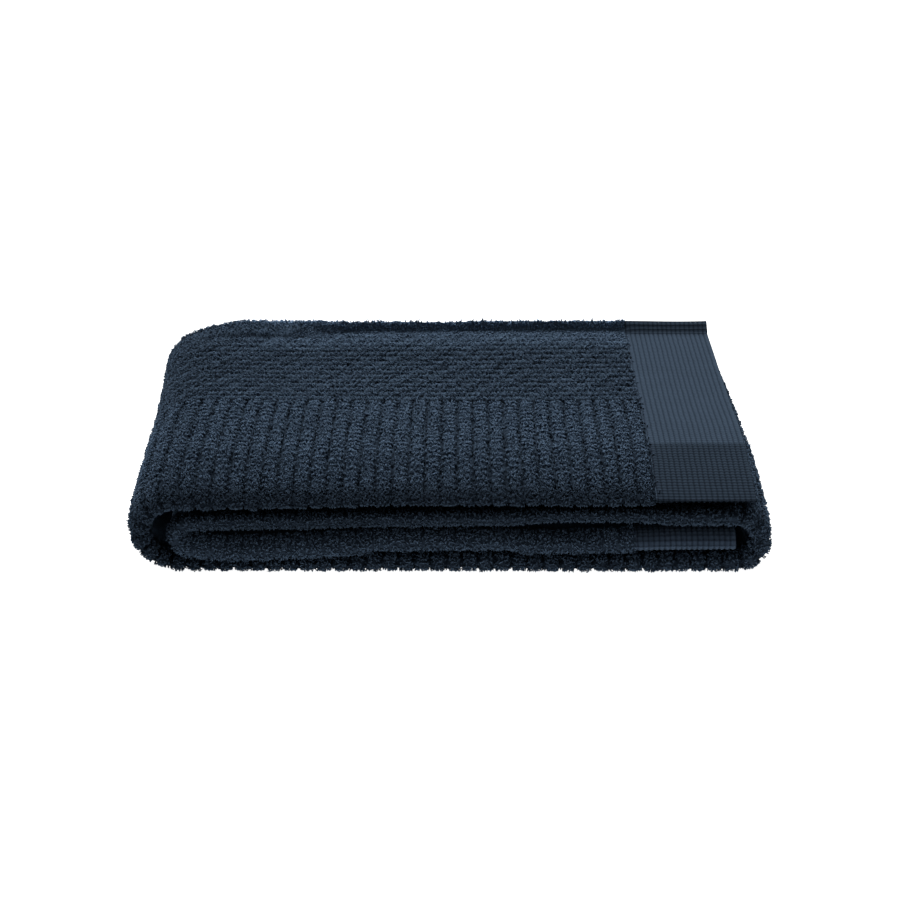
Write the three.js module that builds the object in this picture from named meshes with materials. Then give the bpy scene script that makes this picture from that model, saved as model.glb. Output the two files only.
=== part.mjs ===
// Bath towel of ribbed terry, folded for the shelf, in millimetres with Z up.
//
// The towel is one woven sheet with a flat woven band at each end. It is folded in half along its
// length, with the fold at the front and both selvedges at the back. Then it is folded crosswise
// in four, as a flat spiral: the end on top runs left, turns down round the left side, runs right
// under the pile, turns up round the right side, runs left inside, turns down in a tight inner
// fold, and ends inside the right hand fold.
//
// A point of the sheet has two coordinates. s runs along the towel from the end on top. t runs
// across it: 0 at the front fold, plus to the selvedge of the half that faces out of the spiral,
// and minus to the selvedge of the half that faces in.
import * as THREE from 'three';

// Folded towel
const FOLDED_DEPTH = 350;
const HALF_WIDTH = 353.5;
const TOP_END_X = 170.5;
const RIGHT_FOLD_X = 157.5;
const INNER_FOLD_X = -143.5;
const HIDDEN_END_X = 159.5;

// Cloth
const TERRY_THICKNESS = 5.3;
const BAND_THICKNESS = 2.6;
const BAND_WIDTH = 56;
const BAND_STEP = 1;
const BAND_EDGE = 1.2;
const SMALLEST_HALF_SLIT = 0.3;

// Ribs: across the towel in its middle half, along it in the quarter beside each selvedge
const CROSS_RIB_PITCH = 9.15;
const LONG_RIB_PITCH = 11;
const LONG_RIB_COUNT = 15;
const RIB_DEPTH = 1.8;
const PRESSED_RIB_DEPTH = 0.6;
const BAND_RIB_PITCH = 3.11;
const BAND_RIB_DEPTH = 0.5;
const CROSS_ZONE_END = 175;
const LONG_ZONE_START = 177.5;
const HEM_START = LONG_ZONE_START + LONG_RIB_COUNT * LONG_RIB_PITCH;
const HEM_DROP = 0.5;
// Ribs under the towel are pressed flat: their crests fill this middle part of the pitch
const PRESSED_CREST = 0.44;

// The raised selvedge at the back of the top. It stands up steeply, and lies back softly on the
// left, over this part of s.
const RIM_HEIGHT = 6;
const RIM_WIDTHS = { steep: 5, soft: 30 };
const RIM_SOFTENS = [225, 290];
const RIM_FADE = { before: 12, after: 28 };
const RIM_FOOT = HALF_WIDTH - RIM_WIDTHS.steep;

// Layers from the surface up, well behind the front edge. nose is the height of the foremost
// point of the front fold, as a share of half the layer, towards the outward half. The reaches
// say how far behind that point the fold has flattened out, on each half.
const LAYERS = {
  top: { low: 40.4, high: 54, nose: -0.6, outerReach: 46, innerReach: 7 },
  second: { low: 26.4, high: 39.8, nose: -0.1, outerReach: 11, innerReach: 8 },
  third: { low: 12.2, high: 25.4, nose: 0.35, outerReach: 8, innerReach: 15 },
  bottom: { low: 0, high: 11.5, nose: 0.1, outerReach: 8, innerReach: 10 },
};

// The front edge from left to right: the low and high face of each layer there, and how far each
// layer's fold stands forward of the folded depth.
const FRONT_COLUMNS = [
  'x', 'bottomHigh', 'thirdLow', 'thirdHigh', 'secondLow', 'secondHigh', 'topLow', 'topHigh',
  'bottomOut', 'thirdOut', 'secondOut', 'topOut',
];
const FRONT_ROWS = [
  [-148, 7.8, 8.8, 22, 23.4, 34.2, 36.6, 48.5, -2, 3, -1, 0.5],
  [-118, 7.4, 8.2, 20.8, 23.8, 34.4, 37.4, 48.5, -2, 5, -2.5, 1],
  [-84, 8, 9, 21.6, 24, 34.9, 38.2, 48.5, -1.5, 4, -3, 1.5],
  [-54, 9.2, 10.2, 23, 24.8, 35.4, 39, 48.5, -1, 2.5, -3.5, 1.5],
  [-41, 10.8, 12.4, 24, 25.2, 35.6, 39.5, 48.5, -1, 0.5, -3.5, 1],
  [31, 11, 12.8, 23.2, 26, 36.2, 39.5, 48.5, -0.5, 0, -3, 0.5],
  [42, 10, 11.2, 22.8, 26.8, 36.2, 39.5, 48.5, -0.5, 1.5, -3, 0.5],
  [62, 10.2, 11.2, 22.4, 28, 36.4, 39.4, 48.5, 0, 1.5, -3.5, 1],
  [101, 10.4, 11.4, 24.4, 28, 36.9, 39.3, 48.5, 0, 1, -3, 1],
  [130, 10.6, 11.6, 25, 26.4, 37.4, 40.2, 46, 0, 0, -2, 0],
  [165, 10.8, 11.8, 25, 26.6, 37.6, 40.4, 46, 0, 0, -1, 0.5],
];
// The front rows hold at the fold and fade out towards the back. On top the pile bends down
// softly, and the flat band has a crease and then falls in a straight slope.
const FRONT_FADE = { full: -163, none: -112 };
const TOP_PILE_FADE = { full: -163, none: -105 };
const TOP_BAND_FADE = { full: -172, none: -100 };
const CREASED = [101, 128];
// How far the slit between the halves bends towards the nose, as a share of the nose's height
const SLIT_DIP = 0.36;
// What the front fold takes up of each half, and the part of t over which the cloth straightens
const FOLD_TAKE_UP = 3;
const STRAIGHTENED = [66, 165];

// The two outer folds and the inner one. side is the outermost x of the cloth, at the front and
// at the back, and belly is how far it stands out half way between. reach is the length of the
// turn along x, from the layer before and to the layer after. A square above 2 makes the turn
// boxier than an ellipse. puff is what the cloth gains in half thickness at the middle of the turn.
const FOLDS = {
  left: {
    frontSide: -181.5, backSide: -189.5, flare: 2.2, belly: 0,
    frontReachIn: 28, backReachIn: 42, reachOut: 34, frontSquare: 1.95, backSquare: 2.5, puff: 1.6,
  },
  right: {
    frontSide: 180, backSide: 180.5, flare: 1, belly: 3,
    frontReachIn: 21, backReachIn: 21, reachOut: 21, frontSquare: 2.2, backSquare: 2.2, puff: 0.8,
  },
  inner: {
    frontSide: -158.5, backSide: -160, flare: 1, belly: 0,
    frontReachIn: 15, backReachIn: 15, reachOut: 15, frontSquare: 2, backSquare: 2, puff: 0,
  },
};

// The way of the sheet along the spiral
const ROUTE = [
  { run: 'top' },
  { fold: 'left', before: 'top', after: 'bottom' },
  { run: 'bottom' },
  { fold: 'right', before: 'bottom', after: 'second' },
  { run: 'second' },
  { fold: 'inner', before: 'second', after: 'third' },
  { run: 'third' },
];

// Soft swells and hollows in the top face
const SWELLS = [
  { x: 150, y: -60, radiusX: 45, radiusY: 38, height: 1.6 },
  { x: -40, y: 70, radiusX: 110, radiusY: 70, height: -1.4 },
  { x: 70, y: 120, radiusX: 80, radiusY: 45, height: 1.2 },
  { x: -110, y: -40, radiusX: 60, radiusY: 70, height: 1 },
];

// Steps of the mesh
const FOLD_STEPS = 9;
const FOLD_SAMPLES = 48;
const RUN_STEPS = 3;
const NORMAL_STEP = 1;
const NOSE_ANGLES = [-90, -55, -20, 15, 50, 90];
const FOLD_ANGLES_PER_T = 10;
const CROSS_ZONE_TS = [78, 120, CROSS_ZONE_END];
const INNER_HALF_TS = [-HALF_WIDTH, -HEM_START, -CROSS_ZONE_END, -66];
const BACK_FACE_OUTER_TS = [78, CROSS_ZONE_END, HEM_START, RIM_FOOT, HALF_WIDTH];
const BAND_OUTER_TS = [78, 120, CROSS_ZONE_END, 260, HEM_START, RIM_FOOT, HALF_WIDTH];
// Columns nearer the front fold than this follow its unevenness, and need more rows
const UNEVEN_T = 100;
const LEAST_ROW_STEP = 0.5;
const DOUBLE_ROW_STEP = 0.05;

const COLOUR = 0x232f42;
const ROUGHNESS = 0.95;

function mix(from, to, share) {
  return from + (to - from) * share;
}

function smooth(start, end, value) {
  const share = Math.min(1, Math.max(0, (value - start) / (end - start)));
  return share * share * (3 - 2 * share);
}

function frontValue(column, x) {
  const field = FRONT_COLUMNS.indexOf(column);
  const last = FRONT_ROWS.length - 1;
  let row = 0;
  while (row < last - 1 && x > FRONT_ROWS[row + 1][0]) row += 1;
  const [here, next] = [FRONT_ROWS[row], FRONT_ROWS[row + 1]];
  return mix(here[field], next[field], smooth(here[0], next[0], x));
}

function swell(x, y) {
  let height = 0;
  for (const one of SWELLS) {
    const distance = ((x - one.x) / one.radiusX) ** 2 + ((y - one.y) / one.radiusY) ** 2;
    height += one.height * Math.exp(-distance);
  }
  return height;
}

function fade(range, y) {
  return 1 - smooth(range.full, range.none, y);
}

// How much of the front rows holds at a place on top
function topFade(x, y) {
  const slope = (TOP_BAND_FADE.none - y) / (TOP_BAND_FADE.none - TOP_BAND_FADE.full);
  const band = Math.min(1, Math.max(0, slope));
  return mix(fade(TOP_PILE_FADE, y), band, smooth(...CREASED, x));
}

// Height of a layer's low or high face at a place in the pile
function faceHeight(layer, face, x, y) {
  const level = LAYERS[layer][face];
  const column = layer + (face === 'low' ? 'Low' : 'High');
  if (!FRONT_COLUMNS.includes(column)) return level;
  if (column !== 'topHigh') return mix(level, frontValue(column, x), fade(FRONT_FADE, y));
  const forward = topFade(x, y);
  return mix(level, frontValue(column, x), forward) + swell(x, y) * (1 - forward);
}

function layerMiddle(layer, x, y) {
  return (faceHeight(layer, 'low', x, y) + faceHeight(layer, 'high', x, y)) / 2;
}

function layerHalf(layer, x, y) {
  return (faceHeight(layer, 'high', x, y) - faceHeight(layer, 'low', x, y)) / 2;
}

// Where a fold starts and ends along x, and the outermost x of its cloth
function foldPlan(name, y) {
  const fold = FOLDS[name];
  const back = Math.min(1, Math.max(0, (y + FOLDED_DEPTH / 2) / FOLDED_DEPTH));
  const share = back ** fold.flare;
  const inward = -Math.sign(fold.frontSide);
  const bulge = inward * fold.belly * 4 * back * (1 - back);
  const side = mix(fold.frontSide, fold.backSide, share) - bulge;
  return {
    start: side + inward * mix(fold.frontReachIn, fold.backReachIn, share),
    end: side + inward * fold.reachOut,
    side,
    inward,
    square: mix(fold.frontSquare, fold.backSquare, share),
  };
}

// The line of a fold's middle at one depth: two quarters of a superellipse
function foldLine(segment, y) {
  const plan = foldPlan(segment.fold, y);
  const startZ = layerMiddle(segment.before, plan.start, y);
  const endZ = layerMiddle(segment.after, plan.end, y);
  const halves = layerHalf(segment.before, plan.start, y) + layerHalf(segment.after, plan.end, y);
  const middleX = plan.side + plan.inward * (halves / 2 + FOLDS[segment.fold].puff);
  const power = 2 / plan.square;
  const points = [];
  let length = 0;
  for (let step = 0; step <= FOLD_SAMPLES; step += 1) {
    const angle = (Math.PI * step) / FOLD_SAMPLES;
    const foot = step * 2 <= FOLD_SAMPLES ? plan.start : plan.end;
    const x = mix(foot, middleX, Math.abs(Math.sin(angle)) ** power);
    const rise = Math.sign(Math.cos(angle)) * Math.abs(Math.cos(angle)) ** power;
    const z = (startZ + endZ) / 2 + (rise * (startZ - endZ)) / 2;
    if (step > 0) length += Math.hypot(x - points[step - 1].x, z - points[step - 1].z);
    points.push({ x, z, length });
  }
  return points;
}

// Ends of a straight run along x at one depth
function runPlan(layer, y) {
  if (layer === 'top') return { start: TOP_END_X, end: foldPlan('left', y).start };
  if (layer === 'bottom') return { start: foldPlan('left', y).end, end: RIGHT_FOLD_X };
  if (layer === 'second') return { start: RIGHT_FOLD_X, end: INNER_FOLD_X };
  return { start: INNER_FOLD_X, end: HIDDEN_END_X };
}

// Lengths of the route, measured half way back
function measuredRoute() {
  let s = 0;
  return ROUTE.map((segment) => {
    const from = s;
    if (segment.run) {
      const plan = runPlan(segment.run, 0);
      s += Math.abs(plan.end - plan.start);
    } else {
      s += foldLine(segment, 0)[FOLD_SAMPLES].length;
    }
    return { ...segment, from, to: s };
  });
}

const SEGMENTS = measuredRoute();
const SHEET_LENGTH = SEGMENTS[SEGMENTS.length - 1].to;
const CROSS_RIB_COUNT = Math.round((SHEET_LENGTH - 2 * BAND_WIDTH) / CROSS_RIB_PITCH);
const CROSS_PITCH = (SHEET_LENGTH - 2 * BAND_WIDTH) / CROSS_RIB_COUNT;
const BAND_RIB_COUNT = Math.round((BAND_WIDTH - BAND_EDGE) / BAND_RIB_PITCH);
const BAND_PITCH = (BAND_WIDTH - BAND_EDGE) / BAND_RIB_COUNT;
const OUTER_TURN_END = SEGMENTS.find((segment) => segment.fold === 'right').to;

function segmentAt(s) {
  return SEGMENTS.find((segment) => s <= segment.to) ?? SEGMENTS[SEGMENTS.length - 1];
}

// Middle of the doubled cloth, between its two halves
function middlePoint(s, y) {
  const segment = segmentAt(s);
  const share = (s - segment.from) / (segment.to - segment.from);
  if (segment.run) {
    const plan = runPlan(segment.run, y);
    const x = mix(plan.start, plan.end, share);
    return { x, z: layerMiddle(segment.run, x, y) };
  }
  const line = foldLine(segment, y);
  const target = share * line[FOLD_SAMPLES].length;
  let step = 1;
  while (step < FOLD_SAMPLES && line[step].length < target) step += 1;
  const [before, after] = [line[step - 1], line[step]];
  const part = (target - before.length) / (after.length - before.length);
  return { x: mix(before.x, after.x, part), z: mix(before.z, after.z, part) };
}

// A value of the layers, blended through the folds
function alongLayers(s, valueOf) {
  const segment = segmentAt(s);
  if (segment.run) return valueOf(segment.run);
  const share = smooth(segment.from, segment.to, s);
  return mix(valueOf(segment.before), valueOf(segment.after), share);
}

function foldPuff(s) {
  const segment = segmentAt(s);
  if (segment.run) return 0;
  const share = (s - segment.from) / (segment.to - segment.from);
  return FOLDS[segment.fold].puff * Math.sin(Math.PI * share) ** 2;
}

function outwardNormal(s, y) {
  const before = middlePoint(s - NORMAL_STEP, y);
  const after = middlePoint(s + NORMAL_STEP, y);
  const [dx, dz] = [after.x - before.x, after.z - before.z];
  const length = Math.hypot(dx, dz);
  return { x: dz / length, z: -dx / length };
}

function quarterEllipse(a, b) {
  const unlike = ((a - b) / (a + b)) ** 2;
  return (Math.PI / 4) * (a + b) * (1 + (3 * unlike) / (10 + Math.sqrt(4 - 3 * unlike)));
}

function inBand(s) {
  return s < BAND_WIDTH - BAND_EDGE / 2 || s > SHEET_LENGTH - BAND_WIDTH + BAND_EDGE / 2;
}

// Depth below the crests of a row of ribs, 0 on a crest
function ribDrop(distance, pitch, depth, crest = 0) {
  const wave = (1 - Math.cos((2 * Math.PI * distance) / pitch)) / 2;
  const edge = (1 + Math.cos(Math.PI * crest)) / 2;
  return depth * (1 - Math.min(1, wave / edge));
}

// Depth of the sheet's outer face below the layer's face
function surfaceDrop(s, t, ribbed) {
  if (inBand(s)) {
    if (Math.abs(t) > HEM_START) return BAND_STEP + BAND_RIB_DEPTH / 2;
    const fromEnd = Math.min(s, SHEET_LENGTH - s);
    return BAND_STEP + ribDrop(fromEnd, BAND_PITCH, BAND_RIB_DEPTH);
  }
  if (!ribbed) return RIB_DEPTH / 2;
  if (Math.abs(t) <= CROSS_ZONE_END) {
    const pressed = segmentAt(s).run === 'bottom' && t > 0 ? PRESSED_CREST : 0;
    const depth = s > OUTER_TURN_END ? PRESSED_RIB_DEPTH : RIB_DEPTH;
    return ribDrop(s - BAND_WIDTH, CROSS_PITCH, depth, pressed);
  }
  if (t < 0) return RIB_DEPTH / 2;
  return t >= HEM_START ? HEM_DROP : ribDrop(t - LONG_ZONE_START, LONG_RIB_PITCH, RIB_DEPTH);
}

// The selvedge on top stands up at the back, and lies flat where the cloth turns down
function rimRise(s, t) {
  if (t <= 0) return 0;
  const top = SEGMENTS[0];
  const along = 1 - smooth(top.to - RIM_FADE.before, top.to + RIM_FADE.after, s);
  const width = mix(RIM_WIDTHS.steep, RIM_WIDTHS.soft, smooth(...RIM_SOFTENS, s));
  return RIM_HEIGHT * along * smooth(HALF_WIDTH - width, HALF_WIDTH, t);
}

// A point of the sheet. place is an angle round the front fold, or t on a flat half.
// The outer face looks away from the other half, and the back face looks at it.
function sheetPoint(s, place, outerFace) {
  const onFold = place.angle !== undefined;
  const half = (onFold ? place.angle : place.t) < 0 ? -1 : 1;
  const frontX = middlePoint(s, -FOLDED_DEPTH / 2).x;
  const out = alongLayers(s, (layer) => frontValue(`${layer}Out`, frontX));
  const reaches = ['outerReach', 'innerReach'].map((name) => (
    alongLayers(s, (layer) => LAYERS[layer][name])
  ));
  const reach = half > 0 ? reaches[0] : reaches[1];
  const noseY = -FOLDED_DEPTH / 2 - out;
  const ribbed = onFold || (half > 0 && s < OUTER_TURN_END);
  const drop = surfaceDrop(s, onFold ? half : place.t, ribbed && place.plain !== true);
  const cloth = inBand(s) ? BAND_THICKNESS : TERRY_THICKNESS;
  const layerHalfAt = (y) => {
    const { x } = middlePoint(s, y);
    return alongLayers(s, (layer) => layerHalf(layer, x, y)) + foldPuff(s);
  };
  const across = onFold ? Math.abs(Math.sin((place.angle * Math.PI) / 180)) : 1;
  const forward = onFold ? Math.cos((place.angle * Math.PI) / 180) : 0;

  let y = noseY + reach * (1 - forward);
  if (!onFold) {
    const fromFold = Math.abs(place.t);
    y += fromFold - quarterEllipse(reach, layerHalfAt(y));
    y = mix(y, fromFold - FOLD_TAKE_UP - FOLDED_DEPTH / 2, smooth(...STRAIGHTENED, fromFold));
  }
  const halfLayer = layerHalfAt(y);
  const crest = halfLayer + (onFold ? 0 : rimRise(s, place.t));
  const slit = Math.max(SMALLEST_HALF_SLIT, crest - cloth - (inBand(s) ? BAND_STEP : 0));
  const nose = alongLayers(s, (layer) => LAYERS[layer].nose);
  let w = 0;
  if (outerFace) {
    y += forward * drop;
    w = (crest - drop) * mix(nose, half, across);
  } else {
    y += forward * (halfLayer - slit);
    const bent = 1 - smooth(noseY, noseY + Math.max(...reaches), y);
    w = half * slit * across + nose * halfLayer * SLIT_DIP * bent;
  }

  const middle = middlePoint(s, y);
  const normal = outwardNormal(s, y);
  return [middle.x + normal.x * w, y, middle.z + normal.z * w];
}

// Places along s where a column has points
function foldRows() {
  const rows = [];
  for (const segment of SEGMENTS.filter((one) => one.fold)) {
    for (let step = 0; step <= FOLD_STEPS; step += 1) {
      rows.push(mix(segment.from, segment.to, step / FOLD_STEPS));
    }
  }
  return rows;
}

function sparseRows() {
  const rows = foldRows();
  for (const segment of SEGMENTS.filter((one) => one.run)) {
    for (let step = 1; step < RUN_STEPS; step += 1) {
      rows.push(mix(segment.from, segment.to, step / RUN_STEPS));
    }
  }
  return rows;
}

function stationRows() {
  const rows = foldRows();
  for (const segment of SEGMENTS.filter((one) => one.run)) {
    const plan = runPlan(segment.run, -FOLDED_DEPTH / 2);
    for (const [x] of FRONT_ROWS) {
      const share = (x - plan.start) / (plan.end - plan.start);
      if (share > 0 && share < 1) rows.push(mix(segment.from, segment.to, share));
    }
  }
  return rows;
}

function ribRows() {
  const rows = [];
  for (let rib = 0; rib < CROSS_RIB_COUNT; rib += 1) {
    const valley = BAND_WIDTH + rib * CROSS_PITCH;
    const crest = valley + CROSS_PITCH / 2;
    const pressed = segmentAt(crest).run === 'bottom';
    const spread = pressed ? (PRESSED_CREST * CROSS_PITCH) / 2 : 0;
    rows.push(valley, crest - spread, crest + spread);
  }
  return rows;
}

// Rows between two ends, in order and without doubles
function tidyRows(rows, from, to) {
  const inside = rows.filter((s) => s > from + LEAST_ROW_STEP && s < to - LEAST_ROW_STEP);
  const ordered = [from, ...inside.sort((a, b) => a - b), to];
  return ordered.filter((s, index) => index === 0 || s - ordered[index - 1] > DOUBLE_ROW_STEP);
}

// Points and triangles of the closed sheet
const positions = [];
const triangles = [];

function addPoint(s, place, outerFace) {
  positions.push(...sheetPoint(s, place, outerFace));
  return positions.length / 3 - 1;
}

// Order of the columns: angles round the fold lie between the two flat halves
function reading(place) {
  return place.angle === undefined ? place.t : place.angle / FOLD_ANGLES_PER_T;
}

// Fills the strip between two lines of points, each in order of its reading
function zip(left, right, turned) {
  let [a, b] = [0, 0];
  while (a < left.length - 1 || b < right.length - 1) {
    const stepLeft = b === right.length - 1
      || (a < left.length - 1 && left[a + 1].at <= right[b + 1].at);
    const corner = stepLeft ? left[a + 1].index : right[b + 1].index;
    const triangle = [left[a].index, right[b].index, corner];
    triangles.push(...(turned ? triangle.reverse() : triangle));
    if (stepLeft) a += 1;
    else b += 1;
  }
}

function zipAll(lines, turned) {
  for (let index = 1; index < lines.length; index += 1) zip(lines[index - 1], lines[index], turned);
}

function column(place, rows, outerFace) {
  return rows.map((s) => ({ index: addPoint(s, place, outerFace), at: s }));
}

function row(s, places, outerFace) {
  return places.map((place) => ({ index: addPoint(s, place, outerFace), at: reading(place) }));
}

const flat = (t) => ({ t });
const NOSE_PLACES = NOSE_ANGLES.map((angle) => ({ angle }));

// Terry field, outer face: ribs along s need many rows, and ribs along t many columns
function buildField() {
  const from = BAND_WIDTH;
  const to = SHEET_LENGTH - BAND_WIDTH;
  const sparse = tidyRows(sparseRows(), from, to);
  const stations = tidyRows(stationRows(), from, to);
  const ribs = ribRows();
  const everyRib = tidyRows(ribs, from, to);
  const outerTurn = ribs.filter((s) => s <= OUTER_TURN_END);
  const innerTurn = stationRows().filter((s) => s > OUTER_TURN_END);
  const outerTurnRibs = tidyRows([...outerTurn, ...innerTurn], from, to);
  const columns = INNER_HALF_TS.map((t) => ({
    place: flat(t),
    rows: -t < UNEVEN_T ? stations : sparse,
  }));
  for (const place of NOSE_PLACES) {
    if (place.angle === -90) columns.push({ place: { ...place, plain: true }, rows: stations });
    else columns.push({ place, rows: place.angle === 90 ? outerTurnRibs : everyRib });
  }
  for (const t of CROSS_ZONE_TS) columns.push({ place: flat(t), rows: outerTurnRibs });
  for (let step = 0; step < 2 * LONG_RIB_COUNT; step += 1) {
    columns.push({ place: flat(LONG_ZONE_START + (step * LONG_RIB_PITCH) / 2), rows: sparse });
  }
  for (const t of [HEM_START, RIM_FOOT, HALF_WIDTH]) columns.push({ place: flat(t), rows: sparse });
  const lines = columns.map((one) => column(one.place, one.rows, true));
  zipAll(lines, false);
  const endLine = (pick) => lines.map((line, index) => ({
    index: pick(line).index,
    at: reading(columns[index].place),
  }));
  return {
    firstRow: endLine((line) => line[0]),
    lastRow: endLine((line) => line[line.length - 1]),
    innerEdge: lines[0],
    outerEdge: lines[lines.length - 1],
  };
}

// Flat woven band, outer face. Its rows run across the towel, along its fine ribs.
function buildBand(atFarEnd) {
  const places = [...INNER_HALF_TS.map(flat), ...NOSE_PLACES, ...BAND_OUTER_TS.map(flat)];
  const rows = [];
  for (let step = 0; step <= 2 * BAND_RIB_COUNT; step += 1) {
    const fromEnd = (step * BAND_PITCH) / 2;
    rows.push(atFarEnd ? SHEET_LENGTH - fromEnd : fromEnd);
  }
  if (atFarEnd) rows.reverse();
  const lines = rows.map((s) => row(s, places, true));
  zipAll(lines, true);
  const edge = (pick) => lines.map((line, index) => ({ index: pick(line).index, at: rows[index] }));
  return {
    firstRow: lines[0],
    lastRow: lines[lines.length - 1],
    innerEdge: edge((line) => line[0]),
    outerEdge: edge((line) => line[line.length - 1]),
  };
}

// Back face of the whole sheet, which looks into the slit between the two halves
function buildBackFace() {
  const bandEdges = [
    BAND_WIDTH - BAND_EDGE,
    BAND_WIDTH,
    SHEET_LENGTH - BAND_WIDTH,
    SHEET_LENGTH - BAND_WIDTH + BAND_EDGE,
  ];
  const rows = tidyRows([...sparseRows(), ...bandEdges], 0, SHEET_LENGTH);
  const places = [...INNER_HALF_TS.map(flat), ...NOSE_PLACES, ...BACK_FACE_OUTER_TS.map(flat)];
  const lines = places.map((place) => column(place, rows, false));
  zipAll(lines, true);
  const endLine = (pick) => lines.map((line, index) => ({
    index: pick(line).index,
    at: reading(places[index]),
  }));
  return {
    firstRow: endLine((line) => line[0]),
    lastRow: endLine((line) => line[line.length - 1]),
    innerEdge: lines[0],
    outerEdge: lines[lines.length - 1],
  };
}

function buildSheet() {
  const nearBand = buildBand(false);
  const field = buildField();
  const farBand = buildBand(true);
  const back = buildBackFace();
  zip(nearBand.lastRow, field.firstRow, true);
  zip(field.lastRow, farBand.firstRow, true);
  const outerFaceEdge = (name) => [...nearBand[name], ...field[name], ...farBand[name]];
  zip(back.innerEdge, outerFaceEdge('innerEdge'), false);
  zip(outerFaceEdge('outerEdge'), back.outerEdge, false);
  zip(back.firstRow, nearBand.firstRow, true);
  zip(farBand.lastRow, back.lastRow, true);
}

buildSheet();
const geometry = new THREE.BufferGeometry();
geometry.setAttribute('position', new THREE.Float32BufferAttribute(positions, 3));
geometry.setIndex(triangles);
geometry.computeBoundingBox();

// The origin is on the surface, under the middle of the folded towel
const box = geometry.boundingBox;
geometry.translate(-(box.min.x + box.max.x) / 2, -(box.min.y + box.max.y) / 2, -box.min.z);
geometry.computeVertexNormals();

const cloth = new THREE.MeshStandardMaterial({ color: COLOUR, roughness: ROUGHNESS, metalness: 0 });
const towel = new THREE.Mesh(geometry, cloth);
towel.name = 'towel';

const model = new THREE.Group();
model.add(towel);

export default model;
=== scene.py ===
import math

import bpy
import numpy as np
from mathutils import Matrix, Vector


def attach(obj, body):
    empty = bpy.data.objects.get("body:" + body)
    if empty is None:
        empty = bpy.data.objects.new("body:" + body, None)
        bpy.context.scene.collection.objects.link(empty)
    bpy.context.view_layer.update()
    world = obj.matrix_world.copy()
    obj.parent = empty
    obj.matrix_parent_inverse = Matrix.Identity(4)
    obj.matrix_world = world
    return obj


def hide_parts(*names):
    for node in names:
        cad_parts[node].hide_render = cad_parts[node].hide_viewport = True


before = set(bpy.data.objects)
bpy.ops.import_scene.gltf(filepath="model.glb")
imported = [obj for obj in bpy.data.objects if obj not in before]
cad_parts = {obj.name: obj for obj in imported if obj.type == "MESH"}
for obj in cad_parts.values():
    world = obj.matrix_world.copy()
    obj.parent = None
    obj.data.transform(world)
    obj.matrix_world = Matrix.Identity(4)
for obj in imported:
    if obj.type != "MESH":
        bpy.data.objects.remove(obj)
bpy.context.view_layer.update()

# Bath towel of ribbed terry, folded for the shelf. The cloth's shape is worked out in millimetres
# with Z up, in the sheet's own coordinates: s runs along the towel from the end on top, and t
# across it, 0 at the front fold, plus to the selvedge of the half that faces out of the spiral,
# and minus to the selvedge of the half that faces in. It is turned into metres at the end.

# From the sheet's own axes to the frame's origin, under the middle of the folded towel
SHIFT_X = 3.08
SHIFT_Y = 2.1

# Folded towel
FOLDED_DEPTH = 350.0
HALF_WIDTH = 353.5
TOP_END_X = 170.5
RIGHT_FOLD_X = 157.5
INNER_FOLD_X = -143.5
HIDDEN_END_X = 159.5

# Cloth
TERRY_THICKNESS = 5.3
BAND_THICKNESS = 2.6
BAND_WIDTH = 56.0
BAND_STEP = 1.0
BAND_EDGE = 1.2
SMALLEST_HALF_SLIT = 0.3

# Ribs
CROSS_RIB_PITCH = 9.15
LONG_RIB_PITCH = 11.0
LONG_RIB_COUNT = 15
BAND_RIB_PITCH = 3.11
# Distances from the front fold. A crosswise rib's head starts to round off HEAD_LENGTH before
# CROSS_ZONE_END and is down at LONG_ZONE_START, where the lengthwise ribs start. From HEM_START on
# the cloth is flat, and lies HEM_DROP below the crests.
CROSS_ZONE_END = 175.0
HEAD_LENGTH = 5.0
LONG_ZONE_START = 177.5
HEM_START = LONG_ZONE_START + LONG_RIB_COUNT * LONG_RIB_PITCH
HEM_DROP = 0.5
# Depth of the crosswise and of the lengthwise ribs
RIB_DEPTHS = (3.0, 3.4)
RIB_ROUNDNESS = 2.6
RIB_WANDER = 0.45
# The pile stands in clumps along each rib, which close the valleys here and there
CROSS_CLUMP = 7.5
LONG_CLUMP = 3.6
CLUMP_WIDTH = 0.26
CLUMP_HEIGHT = 0.5
# How much, over how many clumps and with what turn from rib to rib the clumps drift along a rib
CLUMP_DRIFT = {"share": 0.25, "clumps": 11, "turn": 3}
# The lengthwise ribs wander this many times as far as the crosswise ones
LONG_WANDER = 1.6
# The depth of the ribs varies by about this share, and small lumps are about this high
RIB_UNEVENNESS = 0.25
LUMP_HEIGHT = 0.25
# Share of the ribs' depth that is left on the front lip of the top, on the bottom's, towards the
# hem, and on the layers that the pile presses
LIP_RIBS = 0.45
BOTTOM_LIP_RIBS = 0.85
HEM_RIBS = 0.45
PRESSED_RIBS = 0.15
# Between which distances from the front fold they get their full depth again, and between which
# distances from the hem's start they lose it
LIP_RIB_FADE = (4.0, 26.0)
BOTTOM_RIB_FADE = (8.0, 18.0)
HEM_RIB_FADE = (-45.0, -12.0)
# Depth of the band's ribs, and the share of it by which the band's flat hem lies lower
BAND_RIB_DEPTH = 0.5
HEM_GROOVE = 0.5
# The ground cloth lies this far below the tips of the pile
PILE_INSET = 0.9
# At its thinnest, the ground cloth is this thick
LEAST_GROUND = 0.5
# Pile on the crosswise and on the lengthwise ribs: its spacing, the length and rise of a tuft, and
# how far from a rib's crest it grows, as a share of half the pitch
PILE_SPACINGS = (1.45, 1.4)
TUFT_LENGTHS = (2.1, 1.3)
TUFT_RISES = (1.2, 0.6)
BARE_VALLEYS = (0.72, 0.6)
# How far pile goes into the front folds, and from the selvedges along the faces inside. How close
# it stands there and on the raised selvedge, where it is so many times as long.
NOSE_PILE = 17
BACK_PILE = 7
BACK_SPACING = 1.9
RIM_SPACING = 1.25
RIM_PILE = 1.9
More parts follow.
